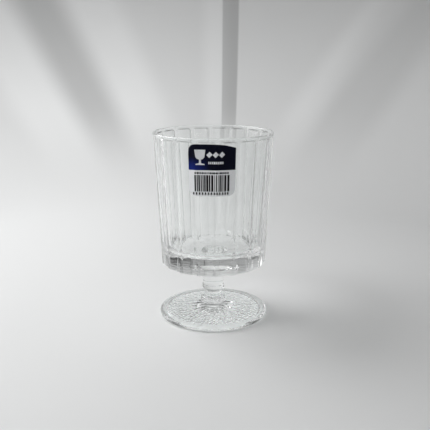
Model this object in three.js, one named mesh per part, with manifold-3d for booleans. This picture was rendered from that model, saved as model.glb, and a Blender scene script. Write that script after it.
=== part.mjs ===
// Ice cream glass: a pressed cup with a panelled bowl, a short beaded stem, a round foot and a sticker.
// Millimetres, +Z up. The origin is the centre of the ring that the foot stands on. The sticker faces -Y.

import * as THREE from 'three';
import { mergeVertices } from 'three/addons/utils/BufferGeometryUtils.js';
import Module from 'manifold-3d';

// Bowl
const RIM_DIAMETER = 80;
const LOWER_EDGE_DIAMETER = 71;
const BOWL_HEIGHT = 89.5; // lower edge up to the rim
const LIP_THICKNESS = 2.4;
const LIP_ROUND = 1.15;
const LOWER_EDGE_ROUND = 1.6;
const BASE_THICKNESS = 9.7; // lower edge up to the inner floor
const FLOOR_WALL = 4.2; // wall at the height of the inner floor
const FLOOR_FILLET = 6;
const UNDERSIDE_RISE = 0.9; // how much the underside rises from the boss to the lower edge
const BOSS_HEIGHT = 2.6; // the pad under the bowl that the stem joins
const BOSS_RADIUS = 9.8;
const BOSS_COVE = 2;

// Panels pressed into the outside of the bowl
const PANEL_COUNT = 18;
const RIDGE_WIDTH = 2; // round strip left between two panels, at the rim
const PANEL_TOP_DROP = 2.4; // rim down to the top of the panels
const PANEL_CORNER = 1.6;
const PANEL_TOOL_DEPTH = 3; // how far the pressing tool reaches out of the glass

// Stem, from the foot up
const STEM_LENGTH = 26.5;
const FLARE_RADIUS = 11.6; // where the stem spreads onto the foot
const FLARE_HEIGHT = 1.3;
const FLARE_COVE = 2.6;
const COLLAR_RADIUS = 8.5;
const COLLAR_HEIGHT = 5;
const WAIST_RADIUS = 5.8;
const WAIST_LENGTH = 3.4;
const WAIST_COVE = 3.4;
const BEAD_RADIUS = 7.6;
const BEAD_SLOPE = 2.8; // height over which the waist opens to the bead
const BEAD_LENGTH = 2.2;
const RING_ROUND = 0.7; // rounding of the collar and the bead
const NECK_RADIUS = 7.1;
const NECK_SPREAD = 1.7; // height over which the neck spreads to the bowl
const NECK_COVE = 5;

// Foot
const FOOT_DIAMETER = 74.4;
const FOOT_EDGE = 3.3; // thickness at the edge
const FOOT_EDGE_ROUND = 1.2;
const FOOT_UNDERCUT = 0.9; // height from the rest ring to the edge's lower corner
const FOOT_RISE = 2.4; // how much the top rises from the edge to the hub
const HUB_HEIGHT = 1.8; // the step at the middle that the stem joins
const HUB_COVE = 2.4;
const HUB_SPREAD = 3; // how much wider the hub is at its base than at the stem
const REST_RING_INSET = 2.2; // foot edge in to the ring it stands on
const REST_RING_WIDTH = 2.2;
const RECESS_DEPTH = 1;
const RECESS_SLOPE = 1.2;

// Star pressed into the underside of the foot
const STAR_RAYS = 18;
const LONG_RAY_MARGIN = 4.6; // tip to the edge of the recess
const LONG_RAY_LENGTH = 23;
const LONG_RAY_WIDTH = 3.2;
const LONG_RAY_DEPTH = 1.3;
const SHORT_RAY_MARGIN = 2.1;
const SHORT_RAY_LENGTH = 10.5;
const SHORT_RAY_WIDTH = 2.6;
const SHORT_RAY_DEPTH = 1;

// Sticker
const LABEL_WIDTH = 28.8;
const LABEL_HEIGHT = 32.4;
const LABEL_TOP_DROP = 3.4; // rim down to the highest point of the sticker
const LABEL_SLANT = 2.3; // how much lower its top right corner is
const LABEL_SLANT_RUN = 14.4; // width over which its top falls
const LABEL_CORNER = 5.2;
const LABEL_TURN_DEG = -4.5; // its middle, turned from the front ridge
const LABEL_THICKNESS = 0.2;
const LABEL_CLEARANCE = 0.1; // the film of glue between sticker and glass

// Fineness of the round shapes
const SEGMENTS_PER_PANEL = 4;
const STEM_SEGMENTS = 48;
const ARC_STEP_DEG = 20;
const OUTLINE_STEPS = 5;
const CORNER_SHARE = 0.48; // share of a side that the rounding of a corner may take
const SAME_POINT = 1e-4;

// Heights that the pieces share
const FOOT_JOINT = FOOT_EDGE + FOOT_RISE + HUB_HEIGHT;
const BOWL_JOINT = FOOT_JOINT + STEM_LENGTH;
const LOWER_EDGE = BOWL_JOINT + BOSS_HEIGHT + UNDERSIDE_RISE;
const RIM = LOWER_EDGE + BOWL_HEIGHT;
const FLOOR = LOWER_EDGE + BASE_THICKNESS;

// Radii, angles and counts that follow from the sizes
const RIM_RADIUS = RIM_DIAMETER / 2;
const LOWER_EDGE_RADIUS = LOWER_EDGE_DIAMETER / 2;
const FOOT_RADIUS = FOOT_DIAMETER / 2;
const FRONT = -Math.PI / 2;
const panels = Math.round(PANEL_COUNT);
const rays = Math.round(STAR_RAYS);
const roundSegments = panels * Math.round(SEGMENTS_PER_PANEL);
const sector = (2 * Math.PI) / panels;
const flatHalfAngle = sector / 2 - RIDGE_WIDTH / RIM_DIAMETER;

const wasm = await Module();
wasm.setup();

function wallRadius(z) {
  const share = (z - LOWER_EDGE) / BOWL_HEIGHT;
  return LOWER_EDGE_RADIUS + (RIM_RADIUS - LOWER_EDGE_RADIUS) * share;
}

// Corners are [radius, height, rounding]. A rounding that doesn't fit its sides is made smaller.
function rounded(corners) {
  const points = [];
  corners.forEach(([radius, height, round = 0], i) => {
    const corner = new THREE.Vector2(radius, height);
    if (!round) {
      points.push(corner);
      return;
    }
    const back = new THREE.Vector2(...corners[i - 1]).sub(corner);
    const ahead = new THREE.Vector2(...corners[i + 1]).sub(corner);
    const room = CORNER_SHARE * Math.min(back.length(), ahead.length());
    back.normalize();
    ahead.normalize();
    const half = back.angleTo(ahead) / 2;
    const reach = Math.min(round / Math.tan(half), room);
    const bend = reach * Math.tan(half);
    const inward = back.clone().add(ahead).normalize();
    const centre = corner.clone().addScaledVector(inward, bend / Math.sin(half));
    const start = corner.clone().addScaledVector(back, reach).sub(centre);
    const end = corner.clone().addScaledVector(ahead, reach).sub(centre);
    const turn = Math.atan2(start.cross(end), start.dot(end));
    const steps = Math.ceil(Math.abs(turn) / THREE.MathUtils.degToRad(ARC_STEP_DEG));
    for (let k = 0; k <= steps; k += 1) {
      const spoke = start.clone().rotateAround(new THREE.Vector2(), (turn * k) / steps);
      points.push(spoke.add(centre));
    }
  });
  return points;
}

// A closed mesh with shared corners, without the slivers that collapse on the axis
function closed(geometry) {
  const bare = geometry.index ? geometry.toNonIndexed() : geometry.clone();
  bare.deleteAttribute('normal');
  bare.deleteAttribute('uv');
  const merged = mergeVertices(bare, SAME_POINT);
  const corners = merged.index.array;
  const kept = [];
  for (let i = 0; i < corners.length; i += 3) {
    const [a, b, c] = corners.slice(i, i + 3);
    if (a !== b && b !== c && c !== a) kept.push(a, b, c);
  }
  merged.setIndex(kept);
  return merged;
}

function turned(profile, segments) {
  const lathe = new THREE.LatheGeometry(profile, segments);
  lathe.rotateX(Math.PI / 2);
  lathe.rotateZ(FRONT);
  return closed(lathe);
}

function solid(geometry) {
  const mesh = closed(geometry);
  return new wasm.Manifold(new wasm.Mesh({
    numProp: 3,
    vertProperties: Float32Array.from(mesh.attributes.position.array),
    triVerts: Uint32Array.from(mesh.index.array),
  }));
}

function geometryOf(body) {
  const mesh = body.getMesh();
  const geometry = new THREE.BufferGeometry();
  geometry.setAttribute('position', new THREE.BufferAttribute(Float32Array.from(mesh.vertProperties), 3));
  geometry.setIndex(Array.from(mesh.triVerts));
  geometry.computeVertexNormals();
  return geometry;
}

function piece(name, geometry, color, roughness) {
  const material = new THREE.MeshStandardMaterial({ color, roughness, metalness: 0 });
  const mesh = new THREE.Mesh(geometry, material);
  mesh.name = name;
  return mesh;
}

// An upright rectangle with its two top corners rounded, standing on the line y = foot
function panelOutline(half, foot, top, corner) {
  const outline = new THREE.Shape();
  outline.moveTo(-half, foot);
  outline.lineTo(half, foot);
  outline.lineTo(half, top - corner);
  outline.quadraticCurveTo(half, top, half - corner, top);
  outline.lineTo(corner - half, top);
  outline.quadraticCurveTo(-half, top, -half, top - corner);
  outline.closePath();
  return outline;
}

// The tools that press the flats. Each one's inner face lies on a panel, moved out by the offset.
function panelTools(offset) {
  const low = new THREE.Vector2(LOWER_EDGE_RADIUS * Math.cos(flatHalfAngle), LOWER_EDGE);
  const high = new THREE.Vector2(RIM_RADIUS * Math.cos(flatHalfAngle), RIM);
  const slope = high.clone().sub(low).normalize();
  const outline = panelOutline(
    RIM_RADIUS * Math.sin(flatHalfAngle),
    -PANEL_TOOL_DEPTH,
    high.distanceTo(low) - PANEL_TOP_DROP,
    PANEL_CORNER,
  );
  const options = { depth: PANEL_TOOL_DEPTH, bevelEnabled: false, curveSegments: OUTLINE_STEPS };
  const tools = [];
  for (let i = 0; i < panels; i += 1) {
    const angle = FRONT + (i + 0.5) * sector;
    const out = new THREE.Vector3(Math.cos(angle), Math.sin(angle), 0);
    const across = new THREE.Vector3(-Math.sin(angle), Math.cos(angle), 0);
    const along = out.clone().multiplyScalar(slope.x).setZ(slope.y);
    const place = new THREE.Matrix4().makeBasis(across, along, across.clone().cross(along));
    place.setPosition(out.multiplyScalar(low.x + offset).setZ(low.y));
    const tool = new THREE.ExtrudeGeometry(outline, options);
    tools.push(solid(tool.applyMatrix4(place)));
  }
  return wasm.Manifold.union(tools);
}

// Bowl
const bowlProfile = rounded([
  [0, BOWL_JOINT],
  [BOSS_RADIUS, BOWL_JOINT],
  [BOSS_RADIUS, BOWL_JOINT + BOSS_HEIGHT, BOSS_COVE],
  [LOWER_EDGE_RADIUS, LOWER_EDGE, LOWER_EDGE_ROUND],
  [RIM_RADIUS, RIM, LIP_ROUND],
  [RIM_RADIUS - LIP_THICKNESS, RIM, LIP_ROUND],
  [wallRadius(FLOOR) - FLOOR_WALL, FLOOR, FLOOR_FILLET],
  [0, FLOOR],
]);
const bowl = solid(turned(bowlProfile, roundSegments)).subtract(panelTools(0));

// Stem
const collarTop = FOOT_JOINT + COLLAR_HEIGHT;
const waistTop = collarTop + WAIST_LENGTH;
const beadFoot = waistTop + BEAD_SLOPE;
const beadTop = beadFoot + BEAD_LENGTH;
const stem = turned(rounded([
  [0, FOOT_JOINT],
  [FLARE_RADIUS, FOOT_JOINT],
  [COLLAR_RADIUS, FOOT_JOINT + FLARE_HEIGHT, FLARE_COVE],
  [COLLAR_RADIUS, collarTop, RING_ROUND],
  [WAIST_RADIUS, collarTop, RING_ROUND],
  [WAIST_RADIUS, waistTop, WAIST_COVE],
  [BEAD_RADIUS, beadFoot, RING_ROUND],
  [BEAD_RADIUS, beadTop, RING_ROUND],
  [NECK_RADIUS, beadTop, RING_ROUND],
  [NECK_RADIUS, BOWL_JOINT - NECK_SPREAD, NECK_COVE],
  [BOSS_RADIUS, BOWL_JOINT],
  [0, BOWL_JOINT],
]), Math.round(STEM_SEGMENTS));

// Foot
const restOuter = FOOT_RADIUS - REST_RING_INSET;
const restInner = restOuter - REST_RING_WIDTH;
const recessRadius = restInner - RECESS_SLOPE;
const footProfile = rounded([
  [0, RECESS_DEPTH],
  [recessRadius, RECESS_DEPTH],
  [restInner, 0],
  [restOuter, 0],
  [FOOT_RADIUS, FOOT_UNDERCUT, FOOT_EDGE_ROUND],
  [FOOT_RADIUS, FOOT_EDGE, FOOT_EDGE_ROUND],
  [FLARE_RADIUS + HUB_SPREAD, FOOT_EDGE + FOOT_RISE, HUB_COVE],
  [FLARE_RADIUS, FOOT_JOINT],
  [0, FOOT_JOINT],
]);

// The tools of the star are long diamonds. Their lower half is below the glass, so each leaves a groove.
function rayTools(tip, length, width, depth, turn) {
  const tools = [];
  for (let i = 0; i < rays; i += 1) {
    const ray = new THREE.OctahedronGeometry(1, 0);
    ray.scale(length / 2, width / 2, depth);
    ray.translate(tip - length / 2, 0, RECESS_DEPTH);
    ray.rotateZ(FRONT + ((i + turn) * 2 * Math.PI) / rays);
    tools.push(solid(ray));
  }
  return tools;
}
const star = wasm.Manifold.union([
  ...rayTools(recessRadius - LONG_RAY_MARGIN, LONG_RAY_LENGTH, LONG_RAY_WIDTH, LONG_RAY_DEPTH, 0),
  ...rayTools(recessRadius - SHORT_RAY_MARGIN, SHORT_RAY_LENGTH, SHORT_RAY_WIDTH, SHORT_RAY_DEPTH, 0.5),
]);
const foot = solid(turned(footProfile, roundSegments)).subtract(star);

// Sticker: a thin skin over the outside of the bowl, cut to the outline of the sheet
function bowlSkin(offset) {
  const core = turned([
    new THREE.Vector2(0, LOWER_EDGE),
    new THREE.Vector2(LOWER_EDGE_RADIUS + offset, LOWER_EDGE),
    new THREE.Vector2(RIM_RADIUS + offset, RIM),
    new THREE.Vector2(0, RIM),
  ], roundSegments);
  return solid(core).subtract(panelTools(offset));
}

function sheetOutline(half, low, high, corner) {
  const outline = new THREE.Shape();
  outline.moveTo(corner - half, low);
  outline.lineTo(half - corner, low);
  outline.quadraticCurveTo(half, low, half, low + corner);
  outline.lineTo(half, high - LABEL_SLANT);
  outline.quadraticCurveTo(half - LABEL_SLANT_RUN / 2, high, half - LABEL_SLANT_RUN, high);
  outline.lineTo(corner - half, high);
  outline.quadraticCurveTo(-half, high, -half, high - corner);
  outline.lineTo(-half, low + corner);
  outline.quadraticCurveTo(-half, low, corner - half, low);
  return outline;
}
const labelTop = RIM - LABEL_TOP_DROP;
const stamp = new THREE.ExtrudeGeometry(
  sheetOutline(LABEL_WIDTH / 2, labelTop - LABEL_HEIGHT, labelTop, LABEL_CORNER),
  { depth: RIM_DIAMETER, bevelEnabled: false, curveSegments: OUTLINE_STEPS },
);
stamp.rotateX(Math.PI / 2);
stamp.rotateZ(THREE.MathUtils.degToRad(LABEL_TURN_DEG));
const label = bowlSkin(LABEL_CLEARANCE + LABEL_THICKNESS)
  .subtract(bowlSkin(LABEL_CLEARANCE))
  .intersect(solid(stamp));

const CLEAR_GLASS = 0xeef3f2;
const WHITE_SHEET = 0xf4f5f7;
const group = new THREE.Group();
group.name = 'ice_cream_glass';
group.add(
  piece('bowl', geometryOf(bowl), CLEAR_GLASS, 0.05),
  piece('stem', stem, CLEAR_GLASS, 0.05),
  piece('foot', geometryOf(foot), CLEAR_GLASS, 0.06),
  piece('label', geometryOf(label), WHITE_SHEET, 0.45),
);

export default group;
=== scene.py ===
"""Dresses the stemmed ice cream glass: clear pressed glass, a printed sticker and a plain stage."""
import math

import bmesh
import bpy
from mathutils import Euler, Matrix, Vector


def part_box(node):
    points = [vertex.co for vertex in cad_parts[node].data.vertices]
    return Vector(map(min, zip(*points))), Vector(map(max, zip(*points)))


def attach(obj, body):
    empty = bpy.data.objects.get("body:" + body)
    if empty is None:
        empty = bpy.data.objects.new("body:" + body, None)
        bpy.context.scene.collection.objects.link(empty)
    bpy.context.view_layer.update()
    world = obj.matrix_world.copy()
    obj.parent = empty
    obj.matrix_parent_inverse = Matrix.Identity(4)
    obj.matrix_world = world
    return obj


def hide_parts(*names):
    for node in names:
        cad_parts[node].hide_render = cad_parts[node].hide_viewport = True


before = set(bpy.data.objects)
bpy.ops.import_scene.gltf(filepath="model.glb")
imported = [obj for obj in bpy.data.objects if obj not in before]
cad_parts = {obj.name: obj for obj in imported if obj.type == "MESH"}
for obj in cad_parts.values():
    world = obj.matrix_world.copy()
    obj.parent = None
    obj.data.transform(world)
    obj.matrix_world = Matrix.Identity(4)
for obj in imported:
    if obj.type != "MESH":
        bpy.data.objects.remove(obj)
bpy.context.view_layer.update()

bl_info = {
    "name": "Ice cream glass",
    "version": (1, 0, 0),
    "blender": (4, 5, 0),
    "location": "View3D > Sidebar > Ice cream glass",
    "description": "Builds a stemmed pressed-glass ice cream glass with a printed sticker",
    "category": "Object",
}

# Heights that the pieces share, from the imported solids
FOOT_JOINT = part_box("foot")[1].z
BOWL_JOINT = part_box("bowl")[0].z
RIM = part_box("bowl")[1].z

# Terms of the layout
MM = 0.001
FRONT = -math.pi / 2
FULL_TURN = 2 * math.pi
HALF = 0.5
NEAR_AXIS = 1e-7
SIDEBAR_TAB = "Ice cream glass"

# Fineness of the meshes
ARC_STEP = math.radians(9)
CORNER_SHARE = 0.48  # share of a side that the rounding of a corner may take
PANEL_COLUMNS = (0, 0.17, 0.33, 0.48, 0.61, 0.71, 0.78, 0.82, 0.85, 0.88, 0.91, 0.95, 1)
STEM_COLUMNS = 216
FOOT_COLUMNS_PER_RAY = 28
WALL_ROW = 1.6 * MM
PANEL_END_ROW = 0.2 * MM
INNER_ROW = 4 * MM
WAVE_ROW = 1 * MM
STAR_ROW = 0.45 * MM
PLAIN_ROW = 1.5 * MM
LABEL_SLICE = 0.4 * MM
OUTLINE_STEPS = 8
MARK_POINTS = 9
JOINT_GAP = 0.01 * MM  # keeps the fused faces of two pieces apart

# Texture of the finishes, with noise scales to a metre
RIPPLE_NOISE = {"Detail": 1.0, "Roughness": 0.4}
SCUFF_NOISE = {"Detail": 5.0, "Roughness": 0.6}
SCUFF_SCALE = 260.0
SCUFF_RANGE = (0.52, 0.78)
GRAIN_NOISE = {"Detail": 3.0, "Roughness": 0.6}
GRAIN_SCALE = 2600.0
GRAIN_DEPTH = 0.004 * MM
BLOTCH_NOISE = {"Detail": 2.0, "Roughness": 0.5}
BLOTCH_SCALE = 420.0
PRINT_RANGE = (0.3, 0.7)
PRINT_GLOSS = 0.08
PRINT_DULLING = 1.3  # how much rougher print is where its shade is lowest
FACET_REACH = 0.75  # facet sizes from its middle to where an icy facet ends

# Right half of the emblem's cup, from its middle in shares of its height, upwards
CUP_SIDE = ((0.08, -0.5), (0.3, -0.5), (0.3, -0.44), (0.07, -0.38), (0.06, -0.16),
            (0.2, -0.1), (0.29, 0.02), (0.36, 0.5))


def length(name, description, millimetres):
    """A size in the units of the scene."""
    return bpy.props.FloatProperty(
        name=name, description=description, default=millimetres * MM, unit="LENGTH", precision=5)


def share(name, description, value, top=1.0):
    """A plain factor."""
    return bpy.props.FloatProperty(name=name, description=description, default=value, min=0.0, max=top)


def count(name, description, value):
    """A whole number of like things."""
    return bpy.props.IntProperty(name=name, description=description, default=value, min=1)


def turn(name, description, degrees):
    """An angle."""
    return bpy.props.FloatProperty(
        name=name, description=description, default=math.radians(degrees), subtype="ANGLE")


def colour(name, description, red, green, blue):
    """A linear colour."""
    return bpy.props.FloatVectorProperty(
        name=name, description=description, default=(red, green, blue), subtype="COLOR",
        size=3, min=0.0, max=1.0)


class BowlSizes(bpy.types.PropertyGroup):
    """Sizes of the cup."""
    rim_radius: length("Rim radius", "Outer radius at the lip", 40)
    lower_radius: length("Lower radius", "Outer radius at the lower edge", 35.5)
    height: length("Height", "Lower edge to lip", 89.5)
    lip: length("Lip", "Thickness of the wall at the lip", 1.8)
    lip_round: length("Lip rounding", "Rounding of the two edges of the lip", 0.85)
    lower_round: length("Lower rounding", "Rounding of the lower edge", 1.6)
    base: length("Base", "Thickness of the base", 9.7)
    floor_wall: length("Wall at floor", "Thickness of the wall at the inner floor", 4.2)
    floor_fillet: length("Floor fillet", "Rounding between inner wall and floor", 8)
    boss_height: length("Boss height", "Height of the boss under the base", 2.6)
    boss_radius: length("Boss radius", "Radius of the boss under the base", 9.8)
    boss_cove: length("Boss cove", "Hollow between boss and base", 0.5)
    panels: count("Panels", "Panels round the wall", 18)
    ridge: length("Ridge", "Width of the round ridge between panels", 2.4)
    panel_drop: length("Panel drop", "Lip down to the top of the panels", 2.4)
    panel_corner: length("Panel corner", "Rounding of a panel's upper corners", 1.6)
    panel_soft: length("Panel softness", "Half the width of the slope round a panel", 0.55)
    panel_recess: length("Panel recess", "Depth of a panel below the ridges", 0.4)
    panel_flat_low: share("Flatness below", "From round to flat, at the panels' lower ends", 1.0)
    panel_flat_high: share("Flatness above", "From round to flat, at the panels' upper ends", 0.6)
    wave_size: length("Wave size", "Size of the waves in the floor and the underside", 6)
    wave_depth: length("Wave depth", "Height of the waves in the floor and the underside", 0.3)


class StemSizes(bpy.types.PropertyGroup):
    """Sizes of the stem."""
    flare_radius: length("Flare radius", "Radius where the stem meets the foot", 11.6)
    flare_height: length("Flare height", "Height of the flare", 1.3)
    flare_cove: length("Flare cove", "Hollow above the flare", 1.2)
    collar_radius: length("Collar radius", "Radius of the collar", 8.5)
    collar_height: length("Collar height", "Joint of the foot to the top of the collar", 5)
    waist_radius: length("Waist radius", "Radius of the waist", 5.8)
    waist_length: length("Waist length", "Height of the waist", 3.4)
    waist_cove: length("Waist cove", "Hollow from waist to bead", 3.4)
    bead_radius: length("Bead radius", "Radius of the bead", 7.6)
    bead_slope: length("Bead slope", "Height over which the bead widens", 2.8)
    bead_length: length("Bead length", "Height of the bead", 2.2)
    ring_round: length("Ring rounding", "Rounding of bead and waist", 0.7)
    collar_round: length("Collar rounding", "Rounding of the collar's shoulder", 1.6)
    neck_radius: length("Neck radius", "Radius of the neck", 7.1)
    neck_spread: length("Neck spread", "Height over which the neck widens to the boss", 1.7)
    neck_cove: length("Neck cove", "Hollow under the boss", 5)


class FootSizes(bpy.types.PropertyGroup):
    """Sizes of the foot and of the star under it."""
    radius: length("Radius", "Radius of the foot", 37.2)
    edge: length("Edge", "Height of the top of the edge", 3.3)
    edge_round: length("Edge rounding", "Rounding of the edge", 1.2)
    undercut: length("Undercut", "Height of the bottom of the edge", 0.9)
    rise: length("Rise", "Rise of the top from edge to hub", 2.4)
    hub_cove: length("Hub cove", "Hollow round the hub", 2.4)
    hub_spread: length("Hub spread", "Width of the slope round the hub", 3)
    rest_inset: length("Rest inset", "Edge in to the ring that the foot stands on", 2.2)
    rest_width: length("Rest width", "Width of the ring that the foot stands on", 2.2)
    recess: length("Recess", "Depth of the underside inside the ring", 1)
    recess_slope: length("Recess slope", "Width of the slope into the recess", 1.2)
    rays: count("Rays", "Long rays of the star, and as many short ones", 18)
    long_margin: length("Long ray margin", "Recess edge to the tip of a long ray", 4.6)
    long_length: length("Long ray length", "Length of a long ray", 23)
    long_width: length("Long ray width", "Widest part of a long ray", 3.2)
    long_depth: length("Long ray depth", "Deepest part of a long ray", 0.5)
    short_margin: length("Short ray margin", "Recess edge to the tip of a short ray", 2.1)
    short_length: length("Short ray length", "Length of a short ray", 10.5)
    short_width: length("Short ray width", "Widest part of a short ray", 2.6)
    short_depth: length("Short ray depth", "Deepest part of a short ray", 0.4)
    frost_size: length("Frost size", "Size of the icy facets between the rays", 1.8)
    frost_depth: length("Frost depth", "Deepest part of an icy facet", 0.24)
    frost_start: length("Frost start", "Radius where the icy facets begin", 13)


class LabelSizes(bpy.types.PropertyGroup):
    """Sizes of the sticker and of its print."""
    width: length("Width", "Width as seen from the front", 28.8)
    height: length("Height", "Height of the sheet", 32.4)
    top_drop: length("Top drop", "Lip down to the top of the sheet", 3.4)
    slant: length("Slant", "How much lower the top right corner is", 2.3)
    slant_run: length("Slant run", "Width over which the top falls", 14.4)
    corner: length("Corner", "Rounding of the corners", 5.2)
    turn: turn("Turn", "Middle of the sheet, turned from the front ridge", -4.5)
    glue: length("Glue", "Gap between glass and sheet", 0.1)
    drape: length("Drape", "Half the width of the sheet's slope off a ridge", 0.95)
    dip: length("Dip", "How far the sheet sinks between two ridges", 0.2)
    sheet: length("Sheet", "Thickness of the sheet", 0.15)
    ink: length("Ink", "Thickness of a layer of print", 0.016)
    ink_gap: length("Ink gap", "Gap under a layer of print", 0.006)
    header: length("Header", "Bottom of the sheet up to the dark header", 16.4)


class GlassLook(bpy.types.PropertyGroup):
    """Finish of the pressed glass."""
    tint: colour("Tint", "Colour of the clear glass", 0.975, 0.985, 0.982)
    ior: share("Index of refraction", "How strongly the glass bends light", 1.52, 3.0)
    polish: share("Polish", "Roughness of the fire-polished skin", 0.006)
    scuff: share("Scuff", "Roughness of the faint marks of use", 0.05)


class LabelLook(bpy.types.PropertyGroup):
    """Colours of the sticker."""
    film: colour("Film", "White of the sheet", 0.91, 0.92, 0.94)
    navy: colour("Navy", "Dark ink of the header", 0.003, 0.0036, 0.014)
    royal: colour("Royal blue", "Lighter ink in the header's lower corner", 0.012, 0.025, 0.2)
    black: colour("Black", "Ink of the bars", 0.008, 0.008, 0.01)
    white: colour("White", "Ink of the emblem", 0.84, 0.85, 0.88)


class StageLook(bpy.types.PropertyGroup):
    """Floor and light."""
    floor: colour("Floor", "Colour of the floor and the wall round it", 0.72, 0.725, 0.725)
    # Colour of the painted shade high up on the wall on the right
    shade: colour("Shade", "Colour of the wall high up on the right", 0.05, 0.05, 0.05)
    sky: share("Sky", "Level of the light from above", 0.56, 10.0)
    ceiling: share("Ceiling", "Level of what glass and gloss show of the space above", 1.0)
    key: share("Key", "Power of the main lamp, in watts", 7.3, 1000.0)
    window: share("Window", "Power of the lamp that shows only in glass and gloss, in watts", 0.9, 1000.0)


class Wiring:
    """Adds nodes to one tree and links whatever is passed to them."""

    def __init__(self, tree):
        self.tree = tree
        self.given = {}

    @classmethod
    def group(cls, name, kind, inputs, outputs):
        """A new node group with the named sockets."""
        tree = bpy.data.node_groups.new(name, kind)
        for label, socket in inputs:
            tree.interface.new_socket(name=label, in_out="INPUT", socket_type=socket)
        for label, socket in outputs:
            tree.interface.new_socket(name=label, in_out="OUTPUT", socket_type=socket)
        wiring = cls(tree)
        source = tree.nodes.new("NodeGroupInput")
        wiring.given = {socket.name: socket for socket in source.outputs if socket.name}
        wiring.result = tree.nodes.new("NodeGroupOutput")
        return wiring

    def feed(self, socket, value):
        """Links a socket to the input, or sets the input's value."""
        if isinstance(value, bpy.types.NodeSocket):
            self.tree.links.new(value, socket)
        else:
            socket.default_value = value

    def add(self, kind, settings=None, inputs=None):
        """A node with its settings, and its inputs by name."""
        node = self.tree.nodes.new(kind)
        for key, value in (settings or {}).items():
            setattr(node, key, value)
        return self.fill(node, inputs or {})

    def fill(self, node, inputs):
        """Feeds a node's inputs by name."""
        for key, value in inputs.items():
            self.feed(live(node.inputs, key), value)
        return node

    def use(self, group, inputs):
        """A node that holds a group of the same kind of tree."""
        kind = "GeometryNodeGroup" if self.tree.type == "GEOMETRY" else "ShaderNodeGroup"
        return self.add(kind, {"node_tree": group}, inputs)

    def math(self, operation, *values, kind="ShaderNodeMath"):
        """One sum, of numbers or of vectors."""
        node = self.add(kind, {"operation": operation})
        for socket, value in zip(node.inputs, values):
            self.feed(socket, value)
        return next(socket for socket in node.outputs if socket.enabled)

    def plus(self, first, second):
        """A sum of two."""
        return self.math("ADD", first, second)

    def minus(self, first, second):
        """The first less the second."""
        return self.math("SUBTRACT", first, second)

    def times(self, first, second):
        """A product of two."""
        return self.math("MULTIPLY", first, second)

    def over(self, first, second):
        """The first divided by the second."""
        return self.math("DIVIDE", first, second)

    def blend(self, first, second, factor=1.0, kind="MIX"):
        """Two colours, mixed or multiplied."""
        node = self.add("ShaderNodeMix", {"data_type": "RGBA", "blend_type": kind}, {
            "Factor": factor, "A": first, "B": second})
        return live(node.outputs, "Result")

    def noise(self, scale, detail):
        """Noise over the piece's own coordinates."""
        place = self.add("ShaderNodeTexCoord").outputs["Object"]
        node = self.add("ShaderNodeTexNoise", None, {"Vector": place, "Scale": scale, **detail})
        return node.outputs["Fac"]

    def bump(self, depth, height):
        """The normal of a surface with a fine relief."""
        node = self.add("ShaderNodeBump", None, {"Strength": 1.0, "Distance": depth, "Height": height})
        return node.outputs["Normal"]

    def ramp(self, value, low, high, at_low, at_high, smooth=True):
        """A value that goes from one level to another between two limits."""
        node = self.add("ShaderNodeMapRange", {
            "interpolation_type": "SMOOTHSTEP" if smooth else "LINEAR",
        }, {"Value": value, "From Min": low, "From Max": high, "To Min": at_low, "To Max": at_high})
        return node.outputs["Result"]

    def give(self, **results):
        """Links the results to the group's output, with underscores for spaces."""
        for key, value in results.items():
            self.feed(self.result.inputs[key.replace("_", " ")], value)
        return self.tree


FLOAT = "NodeSocketFloat"
INTEGER = "NodeSocketInt"
VECTOR = "NodeSocketVector"
GEOMETRY = "NodeSocketGeometry"
MATERIAL = "NodeSocketMaterial"
VECTOR_MATH = "ShaderNodeVectorMath"
PANEL_SOCKETS = ("Panel Count", "Flat Angle", "Panel Foot", "Panel Top", "Corner", "Softness", "Recess",
                 "Flatness Low", "Flatness High")


def live(sockets, name):
    """The socket of that name that the node's settings leave in use."""
    return next(socket for socket in sockets if socket.name == name and socket.enabled)


def rounded(corners):
    """Points (radius, height) through corners of (radius, height) or (radius, height, rounding)."""
    points = []
    for index, (radius, height, *extra) in enumerate(corners):
        corner = Vector((radius, height))
        if not extra:
            points.append(corner)
            continue
        back = Vector(corners[index - 1][:2]) - corner
        ahead = Vector(corners[(index + 1) % len(corners)][:2]) - corner
        between = back.angle(ahead)
        reach = extra[0] / math.tan(between / 2)
        reach = min(reach, CORNER_SHARE * back.length, CORNER_SHARE * ahead.length)
        arc = reach * math.tan(between / 2)
        middle = corner + (back.normalized() + ahead.normalized()).normalized() * math.hypot(reach, arc)
        start = corner + back.normalized() * reach - middle
        sweep = start.angle_signed(corner + ahead.normalized() * reach - middle)
        steps = max(2, math.ceil(abs(sweep) / ARC_STEP))
        for step in range(steps + 1):
            bend = -sweep * step / steps
            points.append(middle + Vector((
                start.x * math.cos(bend) - start.y * math.sin(bend),
                start.x * math.sin(bend) + start.y * math.cos(bend))))
    return points


def with_rows(points, row):
    """The points, with more between them wherever the step given by row(middle) is passed."""
    full = [points[0]]
    for start, end in zip(points, points[1:]):
        pieces = max(1, math.ceil((end - start).length / row((start + end) / 2) - NEAR_AXIS))
        full.extend(start.lerp(end, step / pieces) for step in range(1, pieces + 1))
    return full


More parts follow.
